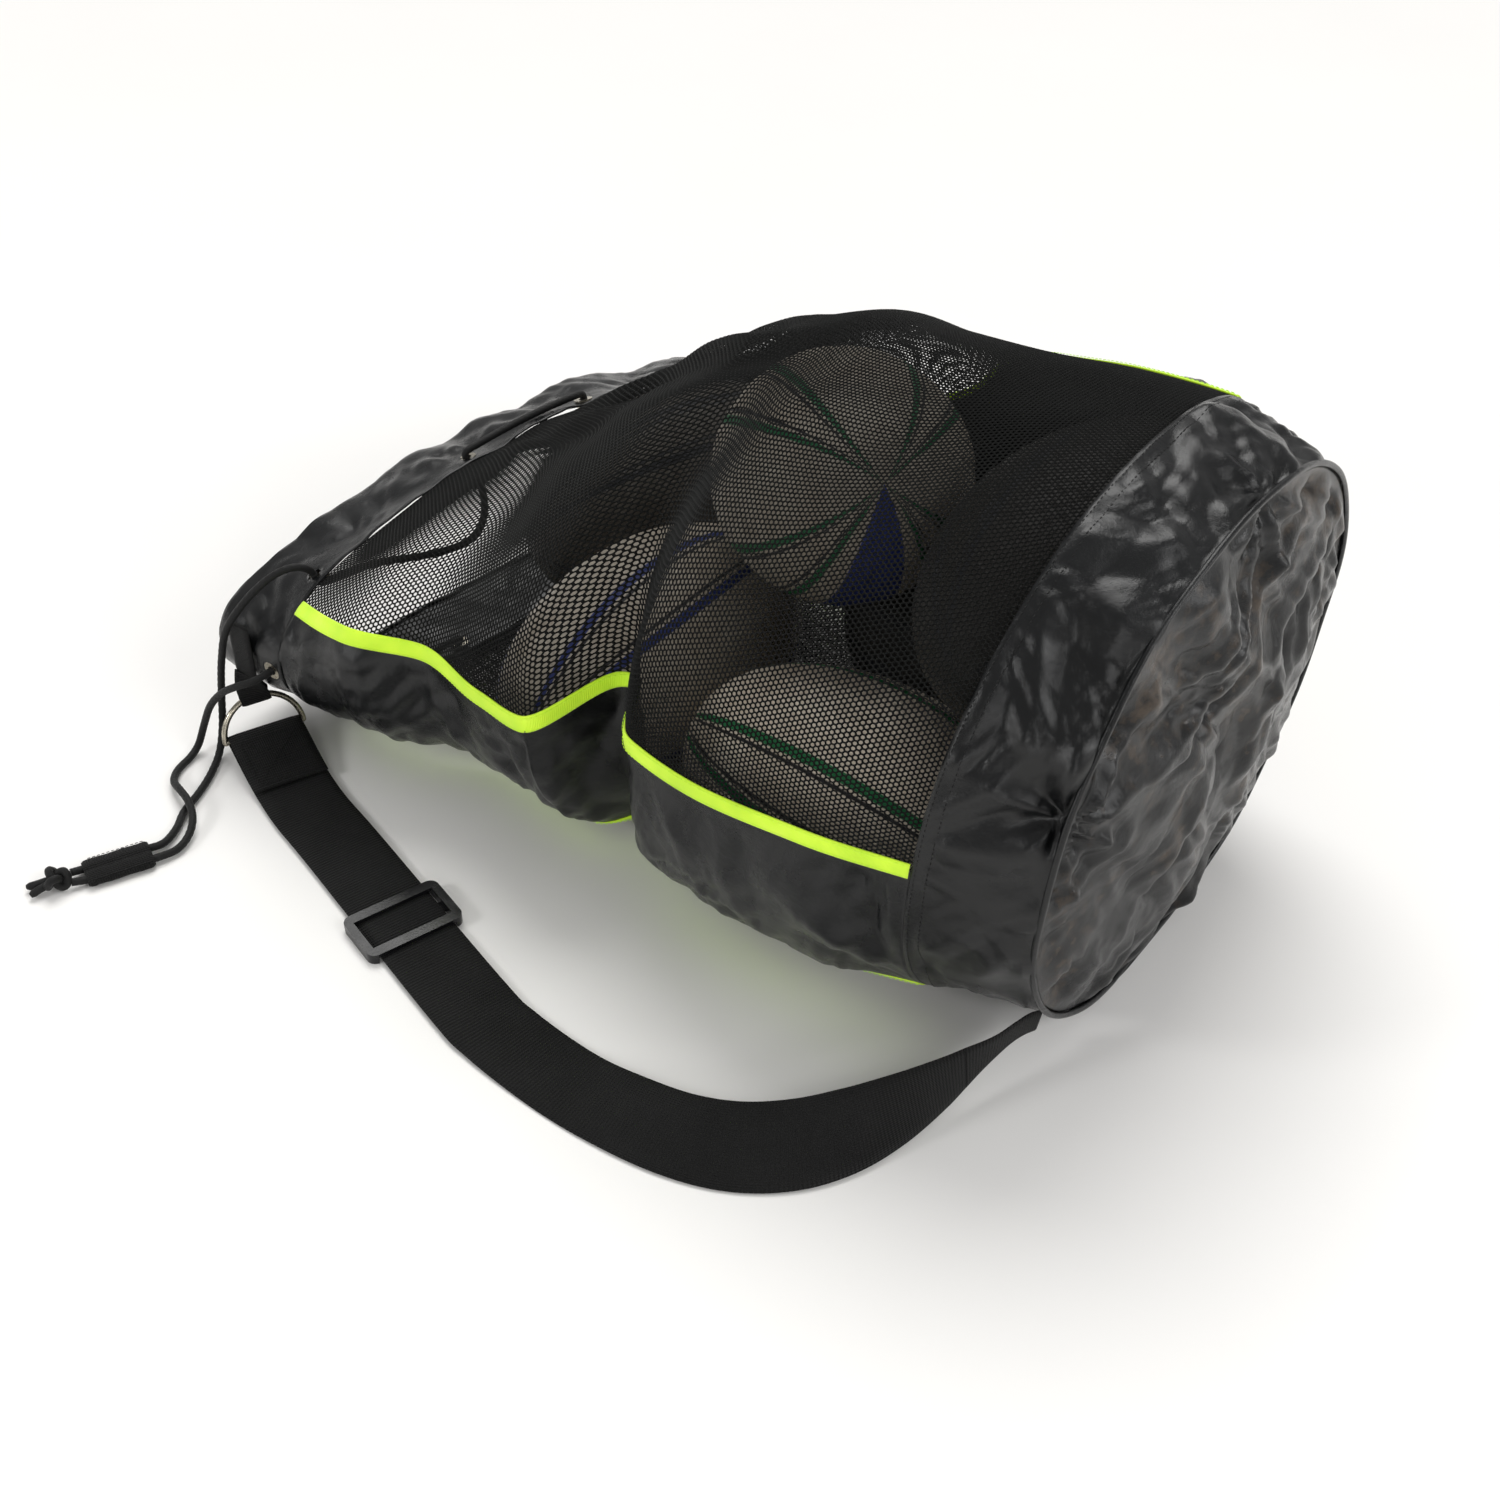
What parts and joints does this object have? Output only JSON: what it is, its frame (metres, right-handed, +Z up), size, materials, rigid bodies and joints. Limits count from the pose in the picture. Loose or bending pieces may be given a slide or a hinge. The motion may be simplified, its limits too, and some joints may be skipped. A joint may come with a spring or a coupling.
{
  "type": "mesh ball bag",
  "caption": "Drawstring mesh carry bag for sports balls, lying on its side with balls inside: round nylon base, mesh body, eyelet collar, drawcord and adjustable shoulder strap.",
  "frame": {"origin": "floor level, under the middle of the bag and strap", "axes": "+X along the bag from the mouth to the round base, +Y away from the shoulder strap, +Z up off the floor"},
  "size_m": [0.6204, 0.6629, 0.337],
  "materials": {
    "nylon": "crumpled coated nylon, soft sheen",
    "mesh": "knitted polyester mesh",
    "tape": "fluorescent woven binding",
    "webbing": "ribbed polypropylene webbing",
    "cord": "braided cord",
    "metal": "nickel-plated, satin",
    "plastic": "moulded, semi-gloss",
    "ball": "pimpled rubber, worn"
  },
  "bodies": {
    "bag": {"base_panel": "nylon", "base_band": "nylon", "front_strip": "nylon", "back_strip": "nylon", "top_mesh": "mesh", "under_mesh": "mesh", "collar": "nylon", "collar_hem": "nylon", "base_seam_binding": "webbing", "front_upper_binding": "tape", "front_lower_binding": "tape", "back_upper_binding": "tape", "back_lower_binding": "tape", "eyelets": "metal", "eyelet_washers": "metal", "drawcord": "cord", "cord_tail_long": "cord", "cord_tail_short": "cord", "cord_knot": "cord", "ring_tab_patch": "webbing", "strap_anchor": "webbing", "ball_front": "ball", "ball_middle": "ball", "ball_top": "ball", "ball_mouth": "ball", "ball_rear": "ball", "ball_base": "ball"},
    "strap": {"strap_webbing": "webbing", "strap_ring": "metal", "ring_tab": "webbing"},
    "slider": {"strap_slider": "plastic"},
    "cord_stop": {"cord_tab": "webbing"}
  },
  "joints": [
    {"name": "strap_lift", "type": "hinge", "parent": "bag", "child": "strap", "pos_m": [0.27, -0.097, 0.03], "axis": [-0.9877, -0.147, 0.0538], "range_deg": [0, 40]},
    {"name": "slider_slide", "type": "slide", "parent": "strap", "child": "slider", "axis": [0.9681, -0.2504, 0], "range_m": [-0.025, 0.025]},
    {"name": "cord_stop_slide", "type": "slide", "parent": "bag", "child": "cord_stop", "axis": [0.3795, 0.9252, 0], "range_m": [0, 0.006]}
  ]
}
